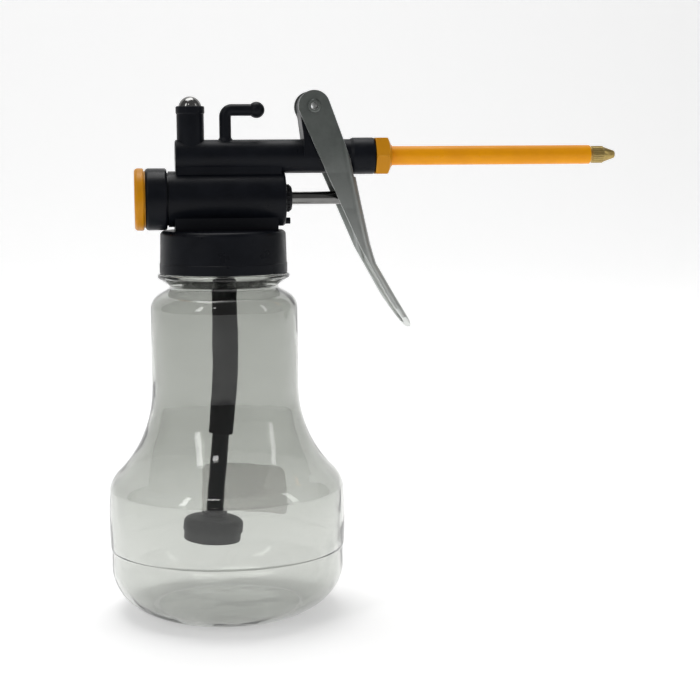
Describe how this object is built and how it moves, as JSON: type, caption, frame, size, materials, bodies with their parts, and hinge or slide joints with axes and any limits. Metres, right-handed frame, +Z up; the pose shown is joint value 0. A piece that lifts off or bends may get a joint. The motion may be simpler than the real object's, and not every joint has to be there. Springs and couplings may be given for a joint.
{
  "type": "lever-action pump oil can",
  "caption": "Hand oil can: clear bell-shaped bottle, screw-on pump head with a lever-driven piston, non-return valves, strainer and a long rigid spout.",
  "frame": {"origin": "centre of the bottle's base, on the surface that it stands on", "axes": "+Z up along the bottle, +X along the spout towards the nozzle, +Y to the left of someone looking along the spout"},
  "size_m": [0.1797, 0.0824, 0.1799],
  "materials": {
    "clear_plastic": "clear, blow moulded",
    "label_film": "satin film",
    "seal_rubber": "matte",
    "black_plastic": "semi-gloss moulded",
    "yellow_plastic": "semi-gloss moulded",
    "orange_plastic": "semi-gloss extruded",
    "white_plastic": "moulded",
    "dark_plastic": "moulded",
    "grey_plastic": "moulded",
    "hose_rubber": "smooth hose",
    "bright_steel": "polished",
    "spring_steel": "drawn wire",
    "zinc_steel": "zinc plated, brushed",
    "brass": "turned and knurled"
  },
  "bodies": {
    "bottle": {"bottle": "clear_plastic", "rear_label": "label_film"},
    "gasket": {"mouth_gasket": "seal_rubber"},
    "head": {"head_housing": "black_plastic", "end_plug": "yellow_plastic", "end_plug_o_ring": "seal_rubber", "return_spring": "spring_steel", "rod_gland": "black_plastic", "rod_seal": "seal_rubber", "inlet_nipple": "white_plastic", "suction_hose": "hose_rubber", "pickup_tube": "dark_plastic", "strainer_cap": "dark_plastic", "strainer_screen": "grey_plastic", "outlet_spring": "spring_steel", "valve_plug_ball": "bright_steel", "spout_nut": "yellow_plastic", "spout_seal": "seal_rubber", "spout_tube": "orange_plastic", "nozzle_tip": "brass"},
    "plunger": {"piston": "white_plastic", "piston_cup_seal": "seal_rubber", "piston_rod": "bright_steel"},
    "lever": {"trigger_lever": "zinc_steel", "lever_rivet": "zinc_steel"},
    "inlet_valve": {"inlet_ball": "bright_steel"},
    "outlet_valve": {"outlet_ball": "bright_steel"}
  },
  "joints": [
    {"name": "head_lift", "type": "slide", "parent": "bottle", "child": "gasket", "axis": [0, 0, 1], "range_m": [0, 0.00505]},
    {"name": "head_turn", "type": "hinge", "parent": "gasket", "child": "head", "pos_m": [0, 0, 0.1236], "axis": [0, 0, 1], "range_deg": [0, 450]},
    {"name": "lever_pull", "type": "hinge", "parent": "head", "child": "lever", "pos_m": [0.0311, 0, 0.17447], "axis": [0, 1, 0], "range_deg": [0, 19], "stiffness_Nm_per_rad": 0.525, "springref_deg": -14.15},
    {"name": "piston_stroke", "type": "slide", "parent": "head", "child": "plunger", "axis": [-1, 0, 0], "range_m": [0, 0.0109], "deforming": ["return_spring"]},
    {"name": "inlet_ball_lift", "type": "slide", "parent": "head", "child": "inlet_valve", "axis": [0, 0, 1], "range_m": [0, 0.0014]},
    {"name": "outlet_ball_lift", "type": "slide", "parent": "head", "child": "outlet_valve", "axis": [0, 0, 1], "range_m": [0, 0.002], "stiffness_N_per_m": 60, "springref_m": -0.002, "deforming": ["outlet_spring"]}
  ],
  "couplings": [
    {"joint": "head_lift", "follows": "head_turn", "m_per_rad": 0.00063662},
    {"joint": "piston_stroke", "follows": "lever_pull", "m_per_rad": 0.0324}
  ]
}
